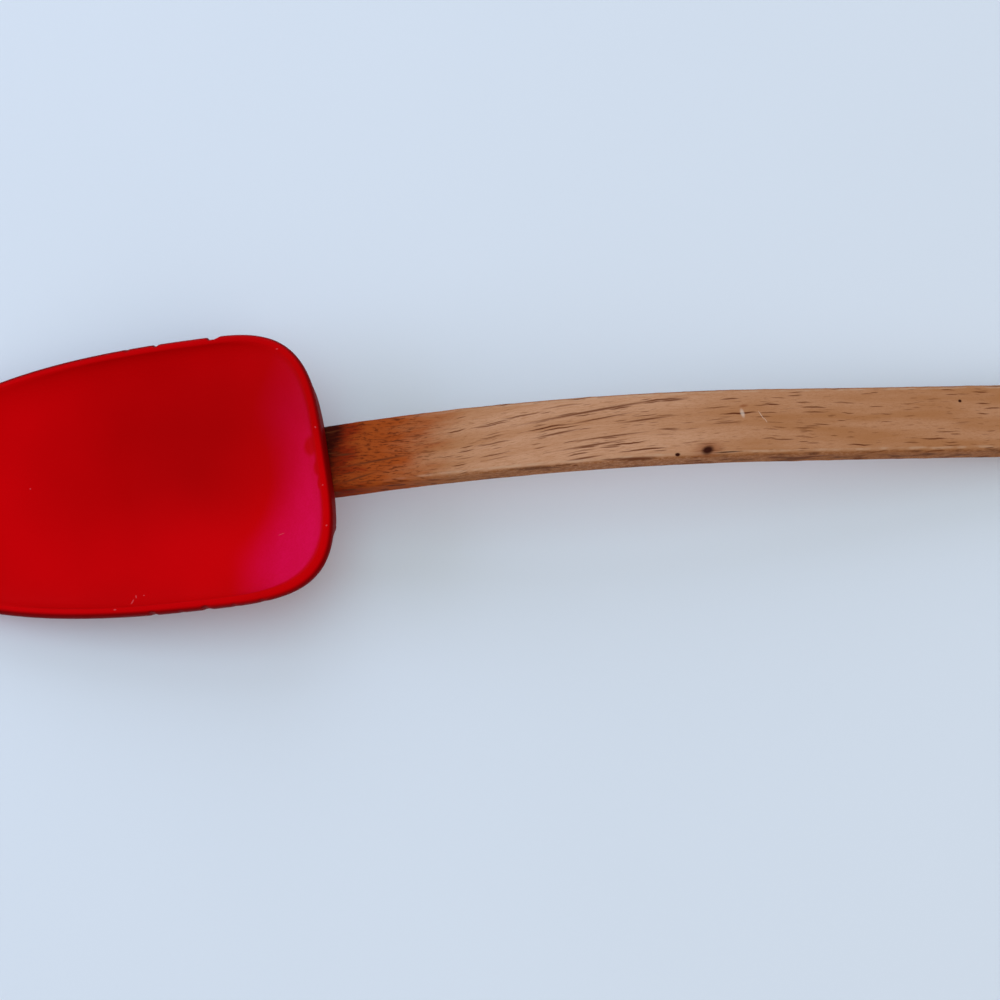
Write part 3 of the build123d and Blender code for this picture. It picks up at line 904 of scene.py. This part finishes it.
    def boss_distance(self, points: np.ndarray) -> np.ndarray:
        """Distance from the boss's surface, less than 0 inside it, of points in the scoop's own axes."""
        start = self.joint.tenon() + self.joint.out() * self.joint.mouth_depth
        place = points[:, (0, 2)] - start
        into = -place @ self.joint.out()
        high = place @ self.joint.up()
        reach = self.joint.mouth_depth + self.joint.sleeve_length
        width = np.interp(into, (0.0, reach / 2, reach, self.boss_length), self.boss_widths)
        below = np.interp(into, (reach, self.boss_length), (self.boss_below, 0.4))
        above = np.interp(into, (reach, self.boss_length), (self.boss_above, 2.5))
        height = above + below
        radius = 0.42 * height
        side = np.abs(points[:, 1]) - (width / 2 - radius)
        rise = np.abs(high - (above - below) / 2) - (height / 2 - radius)
        outside = np.hypot(np.maximum(side, 0.0), np.maximum(rise, 0.0))
        section = outside + np.minimum(np.maximum(side, rise), 0.0) - radius
        ends = np.maximum(-into, into - self.boss_length)
        corner = np.clip(0.5 + 0.5 * (ends - section) / 1.2, 0.0, 1.0)
        return section + (ends - section) * corner + 1.2 * corner * (1 - corner)

    def swell_boss(self, rings: list[np.ndarray], lip: int) -> None:
        """Pushes the belly out over the boss, with a soft hollow where the two meet."""
        block = np.array(rings[lip - 3:-1])
        around = np.roll(block, -1, axis=1) - np.roll(block, 1, axis=1)
        down = np.gradient(block, axis=0)
        normal = np.cross(around, down)
        normal /= np.linalg.norm(normal, axis=2, keepdims=True) + 1e-12
        middle = block.reshape(-1, 3).mean(axis=0)
        if np.einsum("ijk,ijk->", normal, block - middle) < 0:
            normal = -normal
        points = block.reshape(-1, 3)
        outward = normal.reshape(-1, 3)
        push = np.zeros(len(points))
        reach_most = self.boss_search
        samples = 90
        before = None
        for k in range(samples + 1):
            out = reach_most * k / samples
            boss = self.boss_distance(points + outward * out)
            near = np.maximum(self.boss_blend - np.abs(out - boss), 0.0) / self.boss_blend
            field = np.minimum(out, boss) - near * near * self.boss_blend / 4
            if before is not None:
                leaves = (before < 0) & (field >= 0)
                share = np.where(leaves, before / np.where(leaves, before - field, 1.0), 0.0)
                push = np.where(leaves, reach_most * (k - 1 + share) / samples, push)
            before = field
        fade = smooth(self.lip_height - 0.2, self.lip_height + 2.2, -points[:, 2])
        spread = (push * fade).reshape(block.shape[:2])
        for _ in range(6):
            spread = (np.roll(spread, 1, axis=1) + 2 * spread + np.roll(spread, -1, axis=1)) / 4
            spread[1:-1] = (spread[:-2] + 2 * spread[1:-1] + spread[2:]) / 4
        moved = points + outward * spread.reshape(-1, 1)
        rings[lip - 3:-1] = list(moved.reshape(block.shape))

    def lean(self, points: np.ndarray) -> np.ndarray:
        """The moulding's own lean: the rear edge runs a little further back on one side."""
        fade = smooth(-50.0, 0.0, points[:, 0])
        leaned = points.copy()
        leaned[:, 0] -= self.rear_lean * points[:, 1] * fade
        leaned[:, 1] += self.offset_across
        return leaned

    def build(self) -> bpy.types.Object:
        """Makes the closed mesh, with its mouth."""
        rings, lip = self.rings()
        self.swell_boss(rings, lip)
        rings = [scoop_to_world(self.lean(ring)) for ring in rings]
        scoop = stacked("scoop_silicone", rings)
        self.cut_mouth(scoop)
        return scoop

    def cut_mouth(self, scoop: bpy.types.Object) -> None:
        """Cuts the recess for the handle's end, which opens a little outwards, and the core's room."""
        joint = self.joint
        width = joint.handle_width + 2 * joint.mouth_clearance
        height = joint.handle_thickness + 2 * joint.mouth_clearance
        recess = [(joint.mouth_depth + 0.1, 0.0), (0.4, 0.0), (-8.0, 0.25)]
        carve(scoop, self.prism(joint.mouth(), width, height, 1.5, recess))
        sleeve = [(joint.sleeve_length, 0.0), (-1.0, 0.0)]
        carve(scoop, self.prism(joint.tenon(), joint.sleeve_width, joint.sleeve_thickness, 1.2, sleeve))

    def prism(self, start: np.ndarray, width: float, height: float, radius: float,
              sections: list[tuple[float, float]]) -> bpy.types.Object:
        """Closed rounded prism along the joint's axis.

        Args:
            start: Its zero point in the scoop's side view.
            width: Its width.
            height: Its height.
            radius: Its corner radius.
            sections: Distance into the scoop and widening on each side, deepest first.

        Returns:
            The object.
        """
        rings = []
        for into, wider in sections:
            flat = rounded_rectangle(width + 2 * wider, height + 2 * wider, radius + wider)
            side = start - self.joint.out() * into + np.outer(flat[:, 1], self.joint.up())
            rings.append(scoop_to_world(np.column_stack((side[:, 0], flat[:, 0], side[:, 1]))))
        rings.insert(0, rings[0].mean(axis=0, keepdims=True))
        rings.append(rings[-1].mean(axis=0, keepdims=True))
        return stacked("cutter", rings)

    def dress(self, scoop: bpy.types.Object) -> None:
        """Gives the scoop its silicone and its place among the bodies."""
        scoop.data.materials.clear()
        scoop.data.materials.append(RedSilicone().build())
        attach(scoop, "scoop")
        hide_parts("silicone_head")


@dataclass(frozen=True)
class GrainLine:
    """A long dark line of the grain: its two ends in the photograph, in pixels, and its width."""

    start: tuple[float, float]
    end: tuple[float, float]
    width: float


@dataclass
class Handle:
    """The beech handle: a bent flat bar that widens to a rounded end, with a hang hole and a tenon."""

    joint: JointAxis
    view: PhotoCamera
    thickness: float = 6.74
    width_end: float = 16.4
    rounding: float = 1.2
    end_corner: float = 6.5
    neck: float = 7.2
    bend_radius: float = 238.0
    bend_angle: float = math.radians(23.5)
    grip: float = 98.5
    hole_radius: float = 3.2
    hole_from_end: float = 13.0
    hole_chamfer: float = 0.4
    tenon_chamfer: float = 0.8
    tenon_rounding: float = 0.25
    wear: float = 0.09
    settle: Point = (-0.05, 0.0, -0.02)
    grain_lines: tuple[GrainLine, ...] = (
        GrainLine((540, 421), (650, 401), 0.46), GrainLine((662, 401), (683, 399), 0.42),
        GrainLine((577, 423), (623, 414), 0.28), GrainLine((627, 422), (664, 417), 0.38),
        GrainLine((540, 437), (574, 430), 0.38), GrainLine((583, 440), (636, 433), 0.32),
        GrainLine((569, 449), (617, 441), 0.38), GrainLine((572, 460), (597, 456), 0.38),
        GrainLine((662, 429), (677, 429), 0.38), GrainLine((618, 459), (650, 457), 0.42),
        GrainLine((349, 466), (402, 456), 0.44), GrainLine((345, 482), (373, 473), 0.42),
        GrainLine((336, 455), (352, 454), 0.50),
    )
    line_overreach: float = 1.1
    line_softness: float = 0.8
    stations: int = 420
    around: int = 96

    def start_slope(self) -> float:
        """Slope of the neck above the table."""
        return self.joint.dive + REST_TILT

    def length(self) -> float:
        """Length along the middle line, without the tenon."""
        return self.neck + self.bend_radius * self.bend_angle + self.grip

    def top_at(self, x: float) -> float:
        """Height of the handle's top above the table, at a place along the part."""
        first = self.start_slope()
        last = first - self.bend_angle
        shoulder = side_to_world(self.joint.shoulder())[[0, 2]]
        neck_end = shoulder + self.neck * np.array((math.cos(first), math.sin(first)))
        middle = neck_end + self.bend_radius * np.array((math.sin(first), -math.cos(first)))
        outer = self.bend_radius + self.thickness / 2
        slope = math.asin(min(max((middle[0] - x) / outer, math.sin(last)), math.sin(first)))
        foot = middle + outer * np.array((-math.sin(slope), math.cos(slope)))
        return float(foot[1] + (x - foot[0]) * math.tan(slope))

    def on_top(self, pixel: tuple[float, float]) -> Vector:
        """Place on the handle's top that a pixel of the photograph shows."""
        place = self.view.through(pixel, self.thickness)
        for _ in range(40):
            place = self.view.through(pixel, self.top_at(place.x))
        return place

    def streaks(self) -> tuple[Mark, ...]:
        """The photograph's long grain lines, as marks on the handle's top."""
        marks = []
        for line in self.grain_lines:
            start, end = self.on_top(line.start), self.on_top(line.end)
            apart = end - start
            middle = (start + end) / 2
            length = math.hypot(apart.x, apart.y) * self.line_overreach
            turn = math.atan2(apart.y, apart.x)
            marks.append(Mark(middle.x, middle.y, length, line.width, turn, self.line_softness))
        return tuple(marks)

    def tree(self) -> bpy.types.NodeTree:
        """Geometry tree that bends and shapes a round bar into the handle."""
        group = bpy.data.node_groups.new("bent_bar", "GeometryNodeTree")
        group.interface.new_socket("Geometry", in_out="OUTPUT", socket_type="NodeSocketGeometry")
        sizes = {
            "Neck": self.neck, "Bend Radius": self.bend_radius, "Bend Angle": self.bend_angle,
            "Grip": self.grip,
            "Half Thickness": self.thickness / 2, "Half Width": self.joint.handle_width / 2,
            "Half Width End": self.width_end / 2, "Rounding": self.rounding, "End Corner": self.end_corner,
            "Start Slope": self.start_slope(), "Wear": self.wear,
        }
        for name in sizes:
            group.interface.new_socket(name, in_out="INPUT", socket_type="NodeSocketFloat")
        group.interface.new_socket("Finish", in_out="INPUT", socket_type="NodeSocketMaterial")
        self.sizes = sizes
        tree = Tree(group)
        given = tree.node("NodeGroupInput").outputs
        bar = tree.node("GeometryNodeMeshCylinder", {
            "Vertices": self.around, "Side Segments": self.stations, "Radius": 1.0, "Depth": 1.0}).outputs[0]
        place = tree.axes(tree.node("GeometryNodeInputPosition").outputs[0])
        arc = tree.times(given["Bend Radius"], given["Bend Angle"])
        length = tree.plus(tree.plus(given["Neck"], arc), given["Grip"])
        share = tree.plus(place[2], 0.5)
        along = self.station(tree, share, length, given["End Corner"])
        left = tree.minus(length, along)
        half_width = self.half_width(tree, given, left)
        half_height = self.closed(tree, given["Half Thickness"], given["Rounding"], left)
        across, high = self.section(tree, place, half_width, half_height, given["Rounding"])
        x, y, z = self.bent(tree, given, along, across, high, length)
        bent = tree.node("ShaderNodeCombineXYZ", {0: x, 1: y, 2: z}).outputs[0]
        shaped = tree.node("GeometryNodeSetPosition", {"Geometry": bar, "Position": bent}).outputs[0]
        worn = self.worn(tree, shaped, given["Wear"])
        small = tree.node("GeometryNodeTransform", {"Geometry": worn, "Scale": (MM, MM, MM)}).outputs[0]
        real = tree.node("GeometryNodeRealizeInstances", {0: small}).outputs[0]
        inputs = {"Geometry": real, "Material": given["Finish"]}
        finished = tree.node("GeometryNodeSetMaterial", inputs).outputs[0]
        tree.feed(tree.node("NodeGroupOutput").inputs[0], finished)
        return group

    def station(self, tree: Tree, share: Socket, length: Socket, corner: Socket) -> Socket:
        """Distance along the bar, with stations crowded where the end rounds off."""
        straight = tree.times(tree.smaller(tree.over(share, 0.93), 1.0),
                             tree.minus(length, corner))
        last = tree.over(tree.minus(share, 0.93), 0.07, clamp=True)
        quarter = tree.math("SINE", tree.times(last, math.pi / 2))
        return tree.plus(straight, tree.times(quarter, corner))

    def closed(self, tree: Tree, half: Socket, radius: Socket, left: Socket) -> Socket:
        """Half size that rounds off by a radius where little length is left."""
        inside = tree.larger(tree.minus(radius, left), 0.0)
        squares = tree.minus(tree.times(radius, radius), tree.times(inside, inside))
        rounded = tree.minus(radius, tree.math("SQRT", tree.larger(squares, 0.0)))
        return tree.minus(half, rounded)

    def half_width(self, tree: Tree, given: object, left: Socket) -> Socket:
        """Half width along the bar: straight as far as the grip, then a soft flare, closed at the end."""
        flare = tree.minus(1.0, tree.over(left, given["Grip"]), clamp=True)
        wider = tree.minus(given["Half Width End"], given["Half Width"])
        half = tree.math("MULTIPLY_ADD", tree.times(flare, flare), wider, given["Half Width"])
        return self.closed(tree, half, given["End Corner"], left)

    def section(self, tree: Tree, place: object, half_width: Socket, half_height: Socket,
                rounding: Socket) -> tuple[Socket, Socket]:
        """Place on the rounded rectangle of the section, from the bar's own angle.

        Args:
            tree: The geometry tree.
            place: The round bar's coordinates.
            half_width: Half width of the section.
            half_height: Half height of the section.
            rounding: Corner radius.

        Returns:
            Distance across and height above the middle line.
        """
        radius = tree.smaller(rounding, tree.times(half_height, 0.98))
        angle = tree.math("ARCTAN2", place[1], place[0])
        turned = tree.over(tree.math("ABSOLUTE", angle), math.pi)
        fold = tree.minus(1.0, tree.math("ABSOLUTE", tree.math("MULTIPLY_ADD", turned, -2.0, 1.0)))
        flat = tree.minus(half_width, radius)
        side = tree.minus(half_height, radius)
        corner = tree.times(radius, math.pi / 2)
        reach = tree.times(fold, tree.plus(tree.plus(flat, corner), side))
        past = tree.minus(reach, flat)
        bend = tree.smaller(tree.larger(tree.over(past, radius), 0.0), math.pi / 2)
        out = tree.plus(tree.smaller(reach, flat), tree.times(radius, tree.math("SINE", bend)))
        fall = tree.larger(tree.minus(past, corner), 0.0)
        rise = tree.minus(tree.math("MULTIPLY_ADD", radius, tree.math("COSINE", bend), side), fall)
        across = tree.times(out, tree.math("SIGN", place[1]))
        high = tree.times(rise, tree.math("SIGN", tree.minus(0.5, turned)))
        return across, high

    def bent(self, tree: Tree, given: object, along: Socket, across: Socket, high: Socket,
             length: Socket) -> tuple[Socket, Socket, Socket]:
        """Place of a point of the bar once it is bent.

        Args:
            tree: The geometry tree.
            given: The tree's inputs.
            along: Distance along the middle line.
            across: Distance across it.
            high: Height above it.
            length: The bar's whole length.

        Returns:
            The point's three coordinates.
        """
        start = side_to_world(self.joint.shoulder())
        radius = given["Bend Radius"]
        slope = given["Start Slope"]
        past = tree.over(tree.minus(along, given["Neck"]), radius)
        turned = tree.smaller(tree.larger(past, 0.0), given["Bend Angle"])
        heading = tree.minus(slope, turned)
        neck = tree.smaller(along, given["Neck"])
        grip = tree.larger(tree.minus(along, tree.minus(length, given["Grip"])), 0.0)
        sine = tree.math("SINE", heading)
        cosine = tree.math("COSINE", heading)
        first_sine = tree.math("SINE", slope)
        first_cosine = tree.math("COSINE", slope)
        x = tree.math("MULTIPLY_ADD", neck, first_cosine, float(start[0]))
        x = tree.math("MULTIPLY_ADD", radius, tree.minus(first_sine, sine), x)
        x = tree.math("MULTIPLY_ADD", grip, cosine, x)
        x = tree.minus(x, tree.times(high, sine))
        z = tree.math("MULTIPLY_ADD", neck, first_sine, float(start[2]))
        z = tree.math("MULTIPLY_ADD", radius, tree.minus(cosine, first_cosine), z)
        z = tree.math("MULTIPLY_ADD", grip, sine, z)
        z = tree.math("MULTIPLY_ADD", high, cosine, z)
        return x, across, z

    def worn(self, tree: Tree, shape: Socket, wear: Socket) -> Socket:
        """Presses the surface in by a noise."""
        place = tree.node("GeometryNodeInputPosition").outputs[0]
        normal = tree.node("GeometryNodeInputNormal").outputs[0]
        dents = tree.noise(tree.scaled(place, (0.22, 0.6, 0.6)), 1.0, 3.0)
        depth = tree.times(tree.step(dents, 0.45, 0.75), tree.times(wear, -1.0))
        offset = tree.node("ShaderNodeVectorMath", {0: normal, "Scale": depth}, operation="SCALE").outputs[0]
        return tree.node("GeometryNodeSetPosition", {"Geometry": shape, "Offset": offset}).outputs[0]

    def build(self) -> bpy.types.Object:
        """Makes the bar, its hang hole and its tenon as one object."""
        group = self.tree()
        finish = Beech(streaks=self.streaks()).build()
        mesh = bpy.data.meshes.new("handle_beech")
        bar = bpy.data.objects.new("handle_beech", mesh)
        bpy.context.scene.collection.objects.link(bar)
        shape = bar.modifiers.new("bent_bar", "NODES")
        shape.node_group = group
        for item in group.interface.items_tree:
            if item.in_out == "INPUT":
                shape[item.identifier] = finish if item.name == "Finish" else self.sizes[item.name]
        applied(bar)
        self.drill(bar)
        self.add_tenon(bar)
        bar.data.transform(Matrix.Translation(Vector(self.settle) * MM))
        bar.data.materials.clear()
        bar.data.materials.append(finish)
        bar.data.shade_smooth()
        return bar

    def end_frame(self) -> tuple[np.ndarray, np.ndarray, np.ndarray]:
        """The handle's end: middle of its face, direction out along the grip, and direction up from it."""
        first = self.start_slope()
        last = first - self.bend_angle
        start = side_to_world(self.joint.shoulder())
        turned = (math.sin(first) - math.sin(last), 0.0, math.cos(last) - math.cos(first))
        bend = self.bend_radius * np.array(turned)
        neck = self.neck * np.array((math.cos(first), 0.0, math.sin(first)))
        out = np.array((math.cos(last), 0.0, math.sin(last)))
        up = np.array((-math.sin(last), 0.0, math.cos(last)))
        return start + neck + bend + self.grip * out, out, up

    def drill(self, bar: bpy.types.Object) -> None:
        """Drills the hang hole, with both its rims chamfered."""
        end, out, up = self.end_frame()
        middle = end - out * self.hole_from_end
        across = np.array((0.0, 1.0, 0.0))
        half = self.thickness / 2
        radius, chamfer = self.hole_radius, self.hole_chamfer
        profile = ((half + 3.0, radius + chamfer + 3.0), (half - chamfer, radius), (chamfer - half, radius),
                   (-half - 3.0, radius + chamfer + 3.0))
        turn = np.linspace(0.0, 2 * math.pi, 97)[:-1]
        rings = []
        for high, wide in profile:
            circle = np.outer(np.cos(turn) * wide, out) - np.outer(np.sin(turn) * wide, across)
            rings.append(middle + up * high + circle)
        rings.insert(0, rings[0].mean(axis=0, keepdims=True))
        rings.append(rings[-1].mean(axis=0, keepdims=True))
        carve(bar, stacked("drill", rings))

    def add_tenon(self, bar: bpy.types.Object) -> None:
        """Joins the tenon to the handle's shoulder."""
        joint = self.joint
        cut = self.tenon_chamfer
        rings = []
        for into, narrower in ((joint.tenon_length, cut), (joint.tenon_length - cut, 0.0), (-2.0, 0.0)):
            width, height = joint.tenon_width - 2 * narrower, joint.tenon_thickness - 2 * narrower
            flat = rounded_rectangle(width, height, self.tenon_rounding)
            side = joint.tenon() - joint.out() * into + np.outer(flat[:, 1], joint.up())
            rings.append(scoop_to_world(np.column_stack((side[:, 0], flat[:, 0], side[:, 1]))))
        rings.insert(0, rings[0].mean(axis=0, keepdims=True))
        rings.append(rings[-1].mean(axis=0, keepdims=True))
        unite(bar, stacked("tenon", rings))

    def dress(self, bar: bpy.types.Object) -> None:
        """Puts the handle on its body."""
        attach(bar, "handle")
        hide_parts("handle")


@dataclass(frozen=True)
class Lamp:
    """A soft square light that looks at the origin: its place and side in metres, and its power in watts."""

    name: str
    place: Point
    power: float
    side: float
    colour: Colour


@dataclass
class Studio:
    """Floor, lights and the camera at the photograph's angle."""

    view: PhotoCamera
    ambient: float = 0.39
    lamps: tuple[Lamp, ...] = (
        Lamp("west_window", (-0.85, 0.0, 0.35), 3.39, 0.6, (0.543, 0.679, 1.0)),
        Lamp("ceiling", (0.0, 0.0, 0.95), 2.76, 0.9, (0.568, 0.877, 1.0)),
        Lamp("north_window", (0.0, 0.75, 0.50), 2.35, 0.7, (0.635, 0.74, 1.0)),
        Lamp("room", (0.55, -0.55, 0.75), 1.84, 0.7, (1.0, 0.948, 1.0)),
    )

    def camera(self) -> bpy.types.Object:
        """Makes the scene's camera."""
        lens = bpy.data.cameras.new("photo_camera")
        lens.sensor_fit = "HORIZONTAL"
        lens.angle = self.view.field_of_view
        lens.clip_start = 0.01
        made = bpy.data.objects.new("photo_camera", lens)
        made.location = self.view.to_part(tuple(self.view.place())) * MM
        made.rotation_euler = (self.view.lean, 0.0, -self.view.part_turn)
        bpy.context.scene.collection.objects.link(made)
        bpy.context.scene.camera = made
        return made

    def light(self, lamp: Lamp) -> None:
        """Puts a soft square light into the scene."""
        source = bpy.data.lights.new(lamp.name, "AREA")
        source.energy = lamp.power
        source.size = lamp.side
        source.color = lamp.colour
        made = bpy.data.objects.new(lamp.name, source)
        made.location = lamp.place
        made.rotation_euler = Vector(lamp.place).to_track_quat("Z", "Y").to_euler()
        bpy.context.scene.collection.objects.link(made)

    def floor(self) -> bpy.types.Object:
        """Makes the pale floor just under the part."""
        reach = 3000.0
        corners = np.array([(-reach, -reach, -0.05), (reach, -reach, -0.05), (reach, reach, -0.05),
                            (-reach, reach, -0.05)])
        made = mesh_object("floor", corners, [(0, 1, 2, 3)])
        made.data.materials.append(PaleBoard().build())
        return made

    def build(self) -> None:
        """Makes everything that isn't the object."""
        scene = bpy.context.scene
        scene.view_settings.view_transform = "Standard"
        world = bpy.data.worlds.new("soft_room")
        world.use_nodes = True
        sky = world.node_tree.nodes["Background"]
        sky.inputs["Color"].default_value = opaque((1.0, 1.0, 1.0))
        sky.inputs["Strength"].default_value = self.ambient
        scene.world = world
        self.floor()
        for lamp in self.lamps:
            self.light(lamp)
        self.camera()


def main() -> None:
    """Builds the object and its studio."""
    logging.basicConfig(level=logging.INFO, format="%(name)s: %(message)s")
    joint = JointAxis()
    view = PhotoCamera()
    scoop = Scoop(joint)
    scoop_object = scoop.build()
    scoop.dress(scoop_object)
    log.info("scoop: %d faces", len(scoop_object.data.polygons))
    handle = Handle(joint, view)
    handle_object = handle.build()
    handle.dress(handle_object)
    log.info("handle: %d faces", len(handle_object.data.polygons))
    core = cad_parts["head_core"]
    core.data.materials.clear()
    core.data.materials.append(CoreNylon().build())
    log.info("core: kept from the frame")
    Studio(view).build()


if __name__ == "__main__":
    main()
